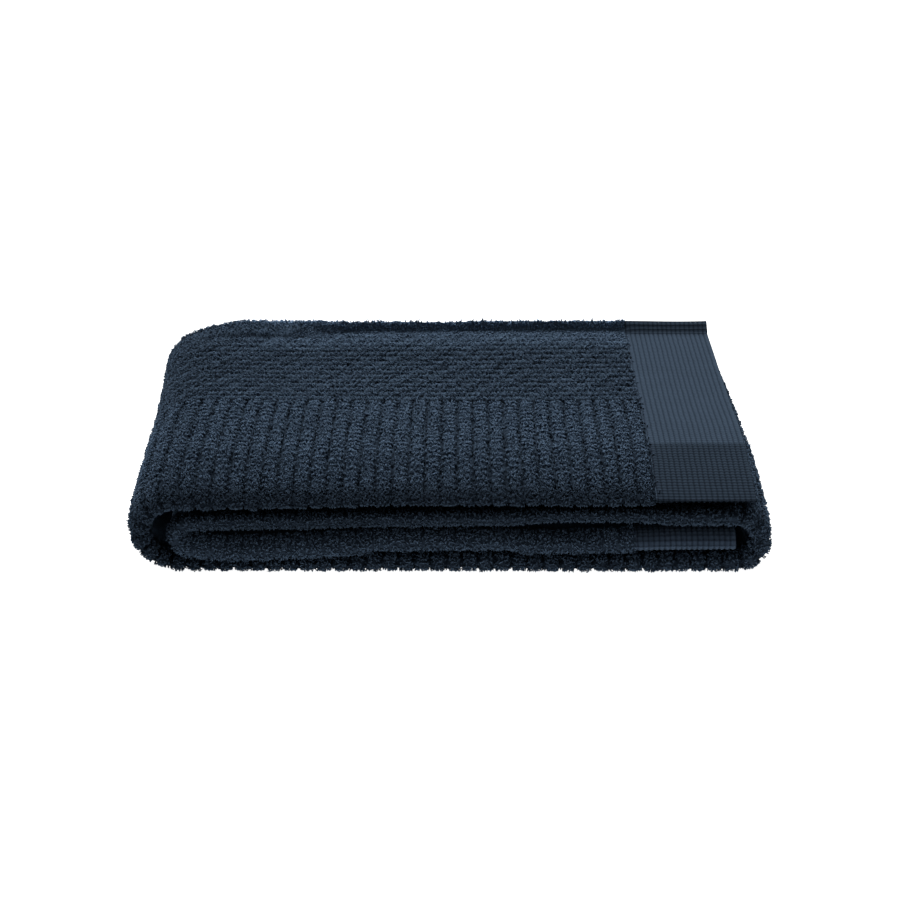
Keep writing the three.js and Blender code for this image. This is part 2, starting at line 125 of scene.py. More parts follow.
# Pile on the selvedges' edges: its spacing, a tuft's length and rise, and its painted shade,
# as a depth in the pile, there and on the back face
EDGE_SPACING = 1.5
EDGE_TUFTS = (1.8, 0.8)
EDGE_LOW = 0.25
UNDER_LOW = 0.6
# The terry's edge beside the band is ragged by this much
RAGGED_EDGE = 1.8
TUFT_RADIUS = (0.42, 0.58)
# A tuft's length and rise vary by these shares. Its root lies this far in the cloth. Its knee lies
# this share of its length out and is this share as thick. Its tip lies between these shares of its
# rise, turned aside by up to this share of its length.
TUFT_VARIES = (0.6, 1.35)
ROOT_DEPTH = 0.35
KNEE_REACH = 0.4
KNEE_WIDTH = 0.95
TIP_RISES = (0.1, 0.6)
TIP_TURN = 0.4
# In the valleys a tuft's length and rise are smaller by these shares
VALLEY_LOSS = (0.4, 0.35)
# Tufts further than this from the crest, as a share of half the pitch, lean back to it
LEANS_FROM = 0.5
# Tufts stand off their even grid by up to this share of the spacing
JITTER = 0.55
# Pile reaches this far over the band's edge, and stays this far from the selvedge
EDGE_OVERLAP = 0.4
SELVEDGE_GAP = 0.3
# No pile lies lower than this above the floor
LOWEST_PILE = 0.05
# Length over which the cloth's direction is measured
SLOPE_STEP = 0.5
# Share of the valleys' pile that is there
BRIDGES = 0.35
# Where ribs are flatter than this share, pile grows in the valleys too
FULL_PILE = 0.88

# The raised selvedge at the back of the top. It stands up steeply, and lies back softly on the
# left, over this part of s.
RIM_HEIGHT = 6.0
RIM_WIDTHS = (5.0, 30.0)
RIM_SOFTENS = (225.0, 290.0)
# The stiffer band stands up less steeply
BAND_RIM_WIDTH = 14.0
BAND_RIM_FADE = (BAND_WIDTH - 8, BAND_WIDTH + 12)
# It waves by this share of its height, upwards by no more than this share of a wave, and lies down
# from so far before the start of the left fold to so far behind it
RIM_WAVES = 0.12
HIGHEST_WAVE = 0.3
RIM_FADE = (12.0, 28.0)

LAYERS = {
    "top": {"low": 40.4, "high": 54.0, "nose": -0.6, "outer": 46.0, "inner": 7.0},
    "second": {"low": 26.4, "high": 39.8, "nose": -0.1, "outer": 11.0, "inner": 8.0},
    "third": {"low": 12.2, "high": 25.4, "nose": 0.35, "outer": 8.0, "inner": 15.0},
    "bottom": {"low": 0.0, "high": 11.5, "nose": 0.1, "outer": 8.0, "inner": 10.0},
}

FRONT_COLUMNS = [
    "x", "bottom high", "third low", "third high", "second low", "second high", "top low",
    "top high", "bottom out", "third out", "second out", "top out",
]
FRONT_ROWS = np.array([
    [-148, 7.8, 8.8, 22, 23.4, 34.2, 36.6, 48.5, -2, 3, -1, 0.5],
    [-118, 7.4, 8.2, 20.8, 23.8, 34.4, 37.4, 48.5, -2, 5, -2.5, 1],
    [-84, 8, 9, 21.6, 24, 34.9, 38.2, 48.5, -1.5, 4, -3, 1.5],
    [-54, 9.2, 10.2, 23, 24.8, 35.4, 39, 48.5, -1, 2.5, -3.5, 1.5],
    [-41, 10.8, 12.4, 24, 25.2, 35.6, 39.5, 48.5, -1, 0.5, -3.5, 1],
    [31, 11, 12.8, 23.2, 26, 36.2, 39.5, 48.5, -0.5, 0, -3, 0.5],
    [42, 10, 11.2, 22.8, 26.8, 36.2, 39.5, 48.5, -0.5, 1.5, -3, 0.5],
    [62, 10.2, 11.2, 22.4, 28, 36.4, 39.4, 48.5, 0, 1.5, -3.5, 1],
    [101, 10.4, 11.4, 24.4, 28, 36.9, 39.3, 48.5, 0, 1, -3, 1],
    [130, 10.6, 11.6, 25, 26.4, 37.4, 40.2, 46, 0, 0, -2, 0],
    [165, 10.8, 11.8, 25, 26.6, 37.6, 40.4, 46, 0, 0, -1, 0.5],
])
# The front rows hold in front of the first of these values of y and have faded out at the second.
# On top the pile bends down softly. The flat band has a crease and then falls in a straight slope,
# and CREASED are the values of x between which the one goes over to the other.
FRONT_FADE = (-163.0, -112.0)
TOP_PILE_FADE = (-163.0, -105.0)
TOP_BAND_FADE = (-172.0, -100.0)
CREASED = (101.0, 128.0)
# The share by which the slit between the two halves follows the tip of the front fold, how much
# cloth that fold takes up, and between which distances from it its unevenness fades out
SLIT_DIP = 0.36
FOLD_TAKE_UP = 3.0
STRAIGHTENED = (66.0, 165.0)

FOLDS = {
    "left": {"front": -181.5, "back": -189.5, "flare": 2.2, "belly": 0.0, "front_in": 28.0,
             "back_in": 42.0, "out": 34.0, "square": (1.95, 2.5), "puff": 1.6},
    "right": {"front": 180.0, "back": 180.5, "flare": 1.0, "belly": 3.0, "front_in": 21.0,
              "back_in": 21.0, "out": 21.0, "square": (2.2, 2.2), "puff": 0.8},
    "inner": {"front": -158.5, "back": -160.0, "flare": 1.0, "belly": 0.0, "front_in": 15.0,
              "back_in": 15.0, "out": 15.0, "square": (2.0, 2.0), "puff": 0.0},
}
ROUTE = [
    ("run", "top"), ("fold", "left", "top", "bottom"), ("run", "bottom"),
    ("fold", "right", "bottom", "second"), ("run", "second"),
    ("fold", "inner", "second", "third"), ("run", "third"),
]
SWELLS = [  # x, y, radius along x, radius along y, height
    (150, -60, 45, 38, 1.6), (-40, 70, 110, 70, -1.4), (70, 120, 80, 45, 1.2),
    (-110, -40, 60, 70, 1.0),
]
FOLD_SAMPLES = 48
NOSE_SAMPLES = 24
GOLDEN = 0.618034


def mix(a, b, share):
    return a + (b - a) * share


def smooth(start, end, value):
    share = np.clip((value - start) / (end - start), 0, 1)
    return share * share * (3 - 2 * share)


def front_value(column, x):
    field = FRONT_COLUMNS.index(column)
    xs = FRONT_ROWS[:, 0]
    row = np.clip(np.searchsorted(xs, x) - 1, 0, len(xs) - 2)
    share = smooth(xs[row], xs[row + 1], x)
    return mix(FRONT_ROWS[row, field], FRONT_ROWS[row + 1, field], share)


def swell(x, y):
    return sum(h * np.exp(-((x - cx) / rx) ** 2 - ((y - cy) / ry) ** 2)
               for cx, cy, rx, ry, h in SWELLS)


def face_height(layer, face, x, y):
    level = LAYERS[layer][face]
    column = f"{layer} {face}"
    if column not in FRONT_COLUMNS:
        return np.full(np.broadcast(x, y).shape, level)
    if column != "top high":
        return mix(level, front_value(column, x), 1 - smooth(*FRONT_FADE, y))
    slope = np.clip((TOP_BAND_FADE[1] - y) / (TOP_BAND_FADE[1] - TOP_BAND_FADE[0]), 0, 1)
    forward = mix(1 - smooth(*TOP_PILE_FADE, y), slope, smooth(*CREASED, x))
    return mix(level, front_value(column, x), forward) + swell(x, y) * (1 - forward)


def layer_middle(layer, x, y):
    return (face_height(layer, "low", x, y) + face_height(layer, "high", x, y)) / 2


def layer_half(layer, x, y):
    return (face_height(layer, "high", x, y) - face_height(layer, "low", x, y)) / 2


def fold_plan(name, y):
    fold = FOLDS[name]
    back = np.clip((y + FOLDED_DEPTH / 2) / FOLDED_DEPTH, 0, 1)
    share = back ** fold["flare"]
    inward = -np.sign(fold["front"])
    side = mix(fold["front"], fold["back"], share) - inward * fold["belly"] * 4 * back * (1 - back)
    start = side + inward * mix(fold["front_in"], fold["back_in"], share)
    return start, side + inward * fold["out"], side, inward, mix(*fold["square"], share)


def fold_line(name, before, after, y):
    """x, z and length along a fold's middle, one row of samples for each y."""
    start, end, side, inward, square = fold_plan(name, y)
    start_z, end_z = layer_middle(before, start, y), layer_middle(after, end, y)
    halves = layer_half(before, start, y) + layer_half(after, end, y)
    middle_x = side + inward * (halves / 2 + FOLDS[name]["puff"])
    power = 2 / square[:, None]
    angle = np.pi * np.arange(FOLD_SAMPLES + 1) / FOLD_SAMPLES
    out = np.abs(np.sin(angle)) ** power
    rise = np.sign(np.cos(angle)) * np.abs(np.cos(angle)) ** power
    foot = np.where(np.arange(FOLD_SAMPLES + 1) * 2 <= FOLD_SAMPLES, start[:, None], end[:, None])
    x = mix(foot, middle_x[:, None], out)
    z = ((start_z + end_z)[:, None] + rise * (start_z - end_z)[:, None]) / 2
    steps = np.hypot(np.diff(x, axis=1), np.diff(z, axis=1))
    length = np.concatenate([np.zeros((len(x), 1)), np.cumsum(steps, axis=1)], axis=1)
    return x, z, length


def run_plan(layer, y):
    if layer == "top":
        return TOP_END_X, fold_plan("left", y)[0]
    if layer == "bottom":
        return fold_plan("left", y)[1], RIGHT_FOLD_X
    if layer == "second":
        return RIGHT_FOLD_X, INNER_FOLD_X
    return INNER_FOLD_X, HIDDEN_END_X


def measured_route():
    found, s, y = [], 0.0, np.zeros(1)
    for kind, name, *ends in ROUTE:
        if kind == "run":
            start, end = run_plan(name, y)
            length = float(np.max(np.abs(end - start)))
        else:
            length = float(fold_line(name, *ends, y)[2][0, -1])
        found.append((kind, name, ends, s, s + length))
        s += length
    return found


SEGMENTS = measured_route()
SHEET_LENGTH = SEGMENTS[-1][4]
CROSS_RIB_COUNT = round((SHEET_LENGTH - 2 * BAND_WIDTH) / CROSS_RIB_PITCH)
CROSS_PITCH = (SHEET_LENGTH - 2 * BAND_WIDTH) / CROSS_RIB_COUNT
BAND_RIB_COUNT = round((BAND_WIDTH - BAND_EDGE) / BAND_RIB_PITCH)
BAND_PITCH = (BAND_WIDTH - BAND_EDGE) / BAND_RIB_COUNT
ENDS = {name: (start, end) for kind, name, ends, start, end in SEGMENTS if kind == "fold"}
ENDS.update({f"{name} run": (start, end) for kind, name, ends, start, end in SEGMENTS
             if kind == "run"})


def parts_of(s):
    """Each segment of the route with the points on it."""
    for index, (kind, name, ends, start, end) in enumerate(SEGMENTS):
        on = (s > start) & (s <= end)
        if index == 0:
            on |= s <= start
        if index == len(SEGMENTS) - 1:
            on |= s > end
        if on.any():
            yield kind, name, ends, on, (s[on] - start) / (end - start)


def middle_point(s, y):
    x, z = np.empty_like(s), np.empty_like(s)
    for kind, name, ends, on, share in parts_of(s):
        if kind == "run":
            start, end = run_plan(name, y[on])
            x[on] = mix(start, end, share)
            z[on] = layer_middle(name, x[on], y[on])
            continue
        line_x, line_z, length = fold_line(name, *ends, y[on])
        target = np.clip(share, 0, 1) * length[:, -1]
        step = np.clip((length < target[:, None]).sum(axis=1), 1, FOLD_SAMPLES)
        row = np.arange(len(step))
        before, after = length[row, step - 1], length[row, step]
        part = (target - before) / (after - before)
        x[on] = mix(line_x[row, step - 1], line_x[row, step], part)
        z[on] = mix(line_z[row, step - 1], line_z[row, step], part)
    return x, z


def along_layers(s, value_of):
    """A value of the layers at each s, blended through the folds. value_of takes a layer and the
    points on it."""
    found = np.empty_like(s)
    for kind, name, ends, on, share in parts_of(s):
        if kind == "run":
            found[on] = value_of(name, on)
        else:
            found[on] = mix(value_of(ends[0], on), value_of(ends[1], on), smooth(0, 1, share))
    return found


def fold_puff(s):
    found = np.zeros_like(s)
    for kind, name, _, on, share in parts_of(s):
        if kind == "fold":
            found[on] = FOLDS[name]["puff"] * np.sin(np.pi * np.clip(share, 0, 1)) ** 2
    return found


def quarter_ellipse(a, b):
    unlike = ((a - b) / (a + b)) ** 2
    return np.pi / 4 * (a + b) * (1 + 3 * unlike / (10 + np.sqrt(4 - 3 * unlike)))


def waves(seed, count, shortest, longest):
    """A smooth noise of s and t between about -1 and 1, made of a few plane waves."""
    own = np.random.default_rng(seed)
    turn = own.uniform(0, 2 * np.pi, count)
    size = 2 * np.pi / own.uniform(shortest, longest, count)
    phase = own.uniform(0, 2 * np.pi, count)

    def value(s, t):
        total = 0
        for k in range(count):
            total = total + np.sin(size[k] * (np.cos(turn[k]) * s + np.sin(turn[k]) * t) + phase[k])
        return total / math.sqrt(count)

    return value


rib_wander = waves(3, 9, 60, 160)
rib_height = waves(4, 9, 14, 50)
lumps = waves(5, 24, 5, 14)
ragged = waves(6, 12, 3, 11)

# Painted shade of the pile at each place along the towel: at the front fold, and away from it
PAINTED_SHADE_ALONG = np.array([
    (0, 0.54, 0.0), (ENDS["left"][0] - 14, 0.54, 0.0), (sum(ENDS["left"]) / 2, 0.5, 0.32),
    (ENDS["left"][1], 0.4, 0.2), (ENDS["left"][1] + 60, 0.18, 0.0), (ENDS["right"][0], 0.2, 0.1),
    (sum(ENDS["right"]) / 2, 0.19, 0.12), (ENDS["right"][1], 0.36, 0.1),
    (ENDS["inner"][0], 0.36, 0.0), (ENDS["inner"][1], 0.0, 0.0), (SHEET_LENGTH, 0.0, 0.0),
])
# Painted shade in the seams inside, and painted light on the hem and the raised selvedge
SEAM_SHADE = 0.52
HEM_LIGHT = 0.26
RIM_LIGHT = 1.4
# Values of t between which the painted shade at the front fold ends, the seams' painted shade
# begins, and the painted light of the hem and of the raised selvedge begins, and values of s
# between which that painted light ends
NOSE_SHADE_FADE = (6.0, 32.0)
SEAM_FADE = (0.0, 9.0)
HEM_LIGHT_FADE = (HEM_START - 46, HEM_START - 24)
RIM_LIGHT_FADE = (HALF_WIDTH - 8, HALF_WIDTH - 4)
TOP_LIGHT_FADE = (ENDS["left"][0] - 40, ENDS["left"][0] + 20)
# The painted shade makes the pile at most this dark
MOST_PAINTED_SHADE = 0.85


def off_crest(distance, pitch):
    """0 on a rib's crest, 1 and -1 in the valleys beside it."""
    return ((distance / pitch) % 1 - 0.5) * 2


def clumps(distance, pitch, along, length):
    """1 between two clumps of a rib and -1 on a clump. Each rib has its own phase and stretch."""
    rib = np.floor(distance / pitch)
    phase = 2 * np.pi * ((rib * GOLDEN) % 1)
    wave = 2 * np.pi * along / (CLUMP_DRIFT["clumps"] * length) + CLUMP_DRIFT["turn"] * phase
    stretch = 1 + CLUMP_DRIFT["share"] * np.sin(wave)
    return np.sin(2 * np.pi * along / length + phase + stretch)


def painted_shade_and_light(s, t):
    """Painted shade of the pile at the front fold, on the sides of the folds and in the seams
    inside. Below 0 it is painted light, on the hem and the raised selvedge."""
    at, nose, side = PAINTED_SHADE_ALONG.T
    near = 1 - smooth(*NOSE_SHADE_FADE, np.abs(t))
    seam = np.where(s > ENDS["right"][1], SEAM_SHADE * smooth(*SEAM_FADE, t), 0)
    on_top = 1 - smooth(*TOP_LIGHT_FADE, s)
    hem = HEM_LIGHT * smooth(*HEM_LIGHT_FADE, t)
    hem = mix(hem, RIM_LIGHT, smooth(*RIM_LIGHT_FADE, t)) * on_top
    shade = mix(np.interp(s, at, side), np.interp(s, at, nose), near) + seam
    return np.minimum(shade, MOST_PAINTED_SHADE) - hem


def in_band(s):
    return (s < BAND_WIDTH - BAND_EDGE / 2) | (s > SHEET_LENGTH - BAND_WIDTH + BAND_EDGE / 2)


def rib_side(s, t):
    """How far a point of the terry is off its rib's crest, how far into the rib's head, and its
    place in the clumps along the rib."""
    wander = RIB_WANDER * rib_wander(s, t)
    crosswise = np.abs(t) <= LONG_ZONE_START
    over = s - BAND_WIDTH + wander
    beside = t - LONG_ZONE_START + LONG_WANDER * wander
    clump = np.where(crosswise, clumps(over, CROSS_PITCH, t, CROSS_CLUMP),
                     clumps(beside, LONG_RIB_PITCH, s, LONG_CLUMP))
    side = np.where(crosswise, off_crest(over, CROSS_PITCH), off_crest(beside, LONG_RIB_PITCH))
    side = np.clip(side * (1 + CLUMP_WIDTH * clump), -1, 1)
    head_end = LONG_ZONE_START - CROSS_ZONE_END + HEAD_LENGTH
    head = np.clip((np.abs(t) - CROSS_ZONE_END + HEAD_LENGTH) / head_end, 0, 1)
    flat = np.abs(t) >= HEM_START
    return np.where(flat, 0, side), np.where(crosswise, head, 0), np.where(flat, -1, clump)


def rib_share(s, t):
    """Height of the terry between 0 in a valley and 1 on a crest."""
    side, head, _ = rib_side(s, t)
    left = 1 - np.abs(side) ** RIB_ROUNDNESS - head ** RIB_ROUNDNESS
    return np.sqrt(np.clip(left, 0, 1))


def rib_strength(s, t):
    """Share of the full rib depth that is left at a place."""
    lip = mix(LIP_RIBS, 1, smooth(*LIP_RIB_FADE, np.abs(t)))
    under = mix(BOTTOM_LIP_RIBS, 1, smooth(*BOTTOM_RIB_FADE, np.abs(t)))
    outer = np.where(s < ENDS["left"][0], lip, np.where(s > ENDS["left"][1], under, 1))
    hem = mix(1, HEM_RIBS, smooth(HEM_START + HEM_RIB_FADE[0], HEM_START + HEM_RIB_FADE[1], t))
    return np.where(s > ENDS["right"][1], PRESSED_RIBS, outer * hem)


def rib_depth(s, t):
    depth = np.where(np.abs(t) <= LONG_ZONE_START, *RIB_DEPTHS)
    return depth * rib_strength(s, t) * (1 + RIB_UNEVENNESS * rib_height(s, t))


def rib_drop(s, t):
    """Depth of the ground cloth below the layer's face."""
    from_end = np.minimum(s, SHEET_LENGTH - s)
    groove = (1 - np.cos(np.pi * off_crest(from_end, BAND_PITCH))) / 2
    band = BAND_STEP + BAND_RIB_DEPTH * np.where(np.abs(t) > HEM_START, HEM_GROOVE, groove)
    ribs = rib_depth(s, t) * (1 - rib_share(s, t))
    ribs = ribs + CLUMP_HEIGHT * (1 + rib_side(s, t)[2]) / 2 * rib_share(s, t)
    terry = PILE_INSET + np.where(np.abs(t) >= HEM_START, HEM_DROP, ribs)
    terry = terry + LUMP_HEIGHT * lumps(s, t)
    return np.where(in_band(s), band, np.minimum(terry, TERRY_THICKNESS - LEAST_GROUND))


def rim_rise(s, t):
    """The selvedge on top stands up at the back, and lies flat where the cloth turns down."""
    start = ENDS["left"][0]
    along = 1 - smooth(start - RIM_FADE[0], start + RIM_FADE[1], s)
    steep = mix(BAND_RIM_WIDTH, RIM_WIDTHS[0], smooth(*BAND_RIM_FADE, s))
    width = mix(steep, RIM_WIDTHS[1], smooth(*RIM_SOFTENS, s))
    height = RIM_HEIGHT * along * (1 + RIM_WAVES * np.minimum(rib_wander(s, 0), HIGHEST_WAVE))
    return np.where(t > 0, height * smooth(HALF_WIDTH - width, HALF_WIDTH, t), 0)


def sheet_points(s, t, outer=True):
    """Points of the sheet in millimetres. The outer face looks away from the other half of the
    doubled cloth, and the back face looks at it."""
    s, t = (np.array(v, float) for v in np.broadcast_arrays(s, t))
    half = np.where(t < 0, -1.0, 1.0)
    from_fold = np.abs(t)
    front_x = middle_point(s, np.full_like(s, -FOLDED_DEPTH / 2))[0]
    out = along_layers(s, lambda layer, on: front_value(f"{layer} out", front_x[on]))
    reaches = [along_layers(s, lambda layer, on: LAYERS[layer][side])
               for side in ("outer", "inner")]
    reach = np.where(half > 0, *reaches)
    nose = along_layers(s, lambda layer, on: LAYERS[layer]["nose"])
    nose_y = -FOLDED_DEPTH / 2 - out
    puff = fold_puff(s)

    def half_at(y):
        x = middle_point(s, y)[0]
        return along_layers(s, lambda layer, on: layer_half(layer, x[on], y[on])) + puff

    turned = half_at(nose_y + reach)
    quarter = quarter_ellipse(reach, turned)
    on_fold = from_fold < quarter
    angles = np.linspace(0, np.pi / 2, NOSE_SAMPLES + 1)
    rise = (turned * np.abs(half - nose))[:, None]
    arc = np.hypot(np.diff(reach[:, None] * (1 - np.cos(angles)), axis=1),
                   np.diff(rise * np.sin(angles), axis=1))
    arc = np.concatenate([np.zeros((len(s), 1)), np.cumsum(arc, axis=1)], axis=1)
    target = np.clip(from_fold / quarter, 0, 1) * arc[:, -1]
    step = np.clip((arc < target[:, None]).sum(axis=1), 1, NOSE_SAMPLES)
    row = np.arange(len(s))
    part = (target - arc[row, step - 1]) / (arc[row, step] - arc[row, step - 1])
    angle = np.clip((step - 1 + part) / NOSE_SAMPLES, 0, 1) * np.pi / 2
    forward = np.where(on_fold, np.cos(angle), 0)
    across = np.where(on_fold, np.sin(angle), 1)

    laid = nose_y + reach + from_fold - quarter
    laid = mix(laid, from_fold - FOLD_TAKE_UP - FOLDED_DEPTH / 2, smooth(*STRAIGHTENED, from_fold))
    y = np.where(on_fold, nose_y + reach * (1 - forward), laid)
    half_layer = half_at(y)
    crest = half_layer + rim_rise(s, t)
    if outer:
        drop = rib_drop(s, t)
        w = (crest - drop) * mix(nose, half, across)
        y = y + forward * drop
    else:
        cloth = np.where(in_band(s), BAND_THICKNESS + BAND_STEP, TERRY_THICKNESS)
        slit = np.maximum(SMALLEST_HALF_SLIT, crest - cloth)
        y = y + forward * (half_layer - slit)
        bent = 1 - smooth(nose_y, nose_y + np.maximum(*reaches), y)
        w = half * slit * across + nose * half_layer * SLIT_DIP * bent
    x, z = middle_point(s, y)
    x0, z0 = middle_point(s - 1, y)
    x1, z1 = middle_point(s + 1, y)
    size = np.hypot(x1 - x0, z1 - z0)
    points = np.stack([x + (z1 - z0) / size * w, y, z - (x1 - x0) / size * w], axis=1)
    return points + np.array([SHIFT_X, SHIFT_Y, 0])


# Colours, linear
TERRY_DARK = (0.046, 0.071, 0.111)
TERRY_LIGHT = (0.098, 0.150, 0.227)
WOVEN_DARK = (0.0109, 0.0161, 0.0250)
WOVEN_LIGHT = (0.0180, 0.0266, 0.0410)
TERRY_SHEEN = 0.25
WOVEN_SHEEN = 0.12
FABRIC_LOOK = {"Roughness": 0.95, "Specular IOR Level": 0.0, "Sheen Roughness": 0.55,
               "Sheen Tint": (0.5, 0.72, 1.0, 1.0)}
# Painted shade, as a depth in the pile: of the ground under it and of a tuft's root, knee and
# tip, against a valley's 1, and how dark the deepest is
GROUND_DEPTH = 0.75
TUFT_DEPTHS = (0.8, 0.3, 0.0)
DEPTH_SHADE = 0.9
# Painted shade, as a depth in the pile, of the ground in the hollows of the folds, which has no
# tufts over it: low in front, which paints light into the hollows, and higher behind; and the
# distances from the front fold between which it goes from one to the other
BARE_DEPTHS = (0.1, 0.65)
BARE_FADE = (60.0, 240.0)
# Painted shade on the tufts low on a rib's flank, as a depth in the pile
FLANK_DEPTH = 0.75
# On which part of a rib's side that starts and ends, on crosswise and on lengthwise ribs
FLANK_STARTS = (0.5, 0.22)
FLANK_ENDS = (0.9, 0.7)
# The band: the period of its cross threads in metres, and how dark and sharp the painted shade
# in its grooves and its threads are
THREAD_PITCH = 0.0036
GROOVE_SHADE = 0.45
GROOVE_SHARPNESS = 3.0
THREAD_SHARPNESS = 2.0
THREAD_SHADE = 0.45
# Share of the threads' shade that shows everywhere, and the share that is added in front
THREADS_SHOWN = (0.2, 0.8)
# How much the lines of the weave wander, and by how many times its own shade the hidden band is
# lighter, as painted light
WEAVE_WANDER = 1.0
FAR_BAND_PAINTED_LIGHT = 1.54
# Between which distances from the front fold, in metres, the crease lies, and how much painted
# shade the band on top has in front of it
CREASE_T = (0.078, 0.083)
CREASE_SHADE = 0.3
# A wave texture of scale 1 has this period
WAVE_PERIOD = 0.314159
# Scale, detail and roughness of the noise for the colour's broad and fine mottle, the terry's fuzz
# and the band's yarn
BROAD_NOISE = (45.0, 2.0, 0.5)
FINE_NOISE = (620.0, 2.0, 0.6)
FUZZ_NOISE = (1500.0, 3.0, 0.7)
YARN_NOISE = (1300.0, 2.0, 0.6)
# The broad mottle's share, where the mottle starts and ends, the yarn's share in the band's bump,
# and how strong the bump is and how deep in metres
BROAD_SHARE = 0.35
MOTTLE_ENDS = (0.45, 0.95)
YARN_SHARE = 0.5
BUMP_STRENGTH = 0.6
FUZZ_DEPTH = 0.0003

# Meshes
METRES = 0.001
# How far on each side of the front fold the ground cloth's rows and columns are close
NOSE_SPAN = 22.0
# Rows on the crosswise and on the lengthwise ribs
ROW_STEP = CROSS_PITCH / 4
LONG_ROW_STEP = 3.0
# Rows on the band where its ribs show and elsewhere
BAND_ROW_STEPS = (BAND_PITCH / 4, 8.2)
# Rows around the folds where the cloth shows and where it is inside
FOLD_ROW_STEPS = (3.0, 4.0)
# Rows on flat cloth that doesn't show
SPARSE_STEP = 22.0
# Columns at the front fold, on the crosswise ribs, on their heads and on the lengthwise ribs
NOSE_COLUMN_STEP = 1.8
CROSS_COLUMN_STEP = 2.2
HEAD_COLUMN_STEP = 1.2
HEAD_COLUMNS_START = CROSS_ZONE_END - 6
LONG_COLUMN_STEP = LONG_RIB_PITCH / 6
INNER_COLUMNS = [-HALF_WIDTH, -HALF_WIDTH + 1, -HEM_START, -250, -175, -110, -66, -40, -29]
HEM_COLUMNS = [HEM_START + 1, HEM_START + 5, *(HALF_WIDTH - 4 + step for step in range(5))]
BACK_COLUMNS = [
    -HALF_WIDTH, -HEM_START, -175, -66, -22, -13, -8, -4, 0, 4, 8, 13, 22, 44, 66, 110, 175, 250,
    HEM_START, HALF_WIDTH - 5, HALF_WIDTH - 2.5, HALF_WIDTH,
]


def spread(start, end, step):
    count = max(1, round((end - start) / step))
    return list(np.linspace(start, end, count + 1)[:-1])


def rows_at(t):
    """The s of each point along the column at t, closer where the column shows."""
    field_end = SHEET_LENGTH - BAND_WIDTH
    left_end, right = ENDS["left"][1], ENDS["right"]
    near = abs(t) <= NOSE_SPAN
    fine = ROW_STEP if abs(t) <= LONG_ZONE_START else LONG_ROW_STEP
    band_fine, band_far = BAND_ROW_STEPS
    fold_shown, fold_inside = FOLD_ROW_STEPS
    rows = spread(0, BAND_WIDTH - BAND_EDGE, band_fine if near or t > 0 else band_far)
    rows += spread(BAND_WIDTH - BAND_EDGE, BAND_WIDTH, BAND_EDGE / 2)
    if near:
        rows += spread(BAND_WIDTH, field_end, ROW_STEP)
    elif t > 0:
        rows += spread(BAND_WIDTH, left_end, fine)
        rows += spread(left_end, right[0], SPARSE_STEP) + spread(*right, fold_shown)
        rows += spread(right[1], ENDS["inner"][0], SPARSE_STEP)
        rows += spread(*ENDS["inner"], fold_shown)
        rows += spread(ENDS["inner"][1], field_end, SPARSE_STEP)
    else:
        for start, end, step in (
            (BAND_WIDTH, ENDS["left"][0], SPARSE_STEP), (*ENDS["left"], fold_inside),
            (ENDS["left"][1], right[0], SPARSE_STEP), (*right, fold_inside),
            (right[1], ENDS["inner"][0], SPARSE_STEP), (*ENDS["inner"], fold_shown),
            (ENDS["inner"][1], field_end, SPARSE_STEP),
        ):
            rows += spread(start, end, step)
    rows += spread(field_end, field_end + BAND_EDGE, BAND_EDGE / 2)
    rows += spread(field_end + BAND_EDGE, SHEET_LENGTH, band_fine if near else band_far)
    return rows + [SHEET_LENGTH]


def zip_lines(lines):
    """Triangles between each line of points and the next. A line is its points' s and the number
    of its first point."""
    faces = []
    for (left, first), (right, second) in zip(lines, lines[1:]):
        a, b = 0, 0
        while a < len(left) - 1 or b < len(right) - 1:
            go_left = b == len(right) - 1 or (a < len(left) - 1 and left[a + 1] <= right[b + 1])
            corner = first + a + 1 if go_left else second + b + 1
            faces.append((first + a, second + b, corner))
            a, b = (a + 1, b) if go_left else (a, b + 1)
    return faces


def end_faces(front, back, last):
    """The edge between the two faces at one end of the towel."""
    (t0, n0), (t1, n1) = front, back
    faces, a, b = [], 0, 0
    while a < len(t0) - 1 or b < len(t1) - 1:
        go_front = b == len(t1) - 1 or (a < len(t0) - 1 and t0[a + 1] <= t1[b + 1])
        corner = n0[a + 1] if go_front else n1[b + 1]
        faces.append((n0[a], n1[b], corner) if last else (n0[a], corner, n1[b]))
        a, b = (a + 1, b) if go_front else (a, b + 1)
    return faces


def mesh_object(name, points, faces, material):
    mesh = bpy.data.meshes.new(name)
    faces = np.asarray(faces, np.int32)
    mesh.vertices.add(len(points))
    mesh.vertices.foreach_set("co", (points * METRES).astype(np.float32).ravel())
    mesh.loops.add(faces.size)
    mesh.loops.foreach_set("vertex_index", faces.ravel())
    mesh.polygons.add(len(faces))
    mesh.polygons.foreach_set("loop_start", np.arange(len(faces), dtype=np.int32) * 3)
    mesh.update(calc_edges=True)
    mesh.validate()
    mesh.polygons.foreach_set("use_smooth", np.ones(len(faces), bool))
    mesh.materials.append(material)
    made = bpy.data.objects.new(name, mesh)
    bpy.context.scene.collection.objects.link(made)
    return made


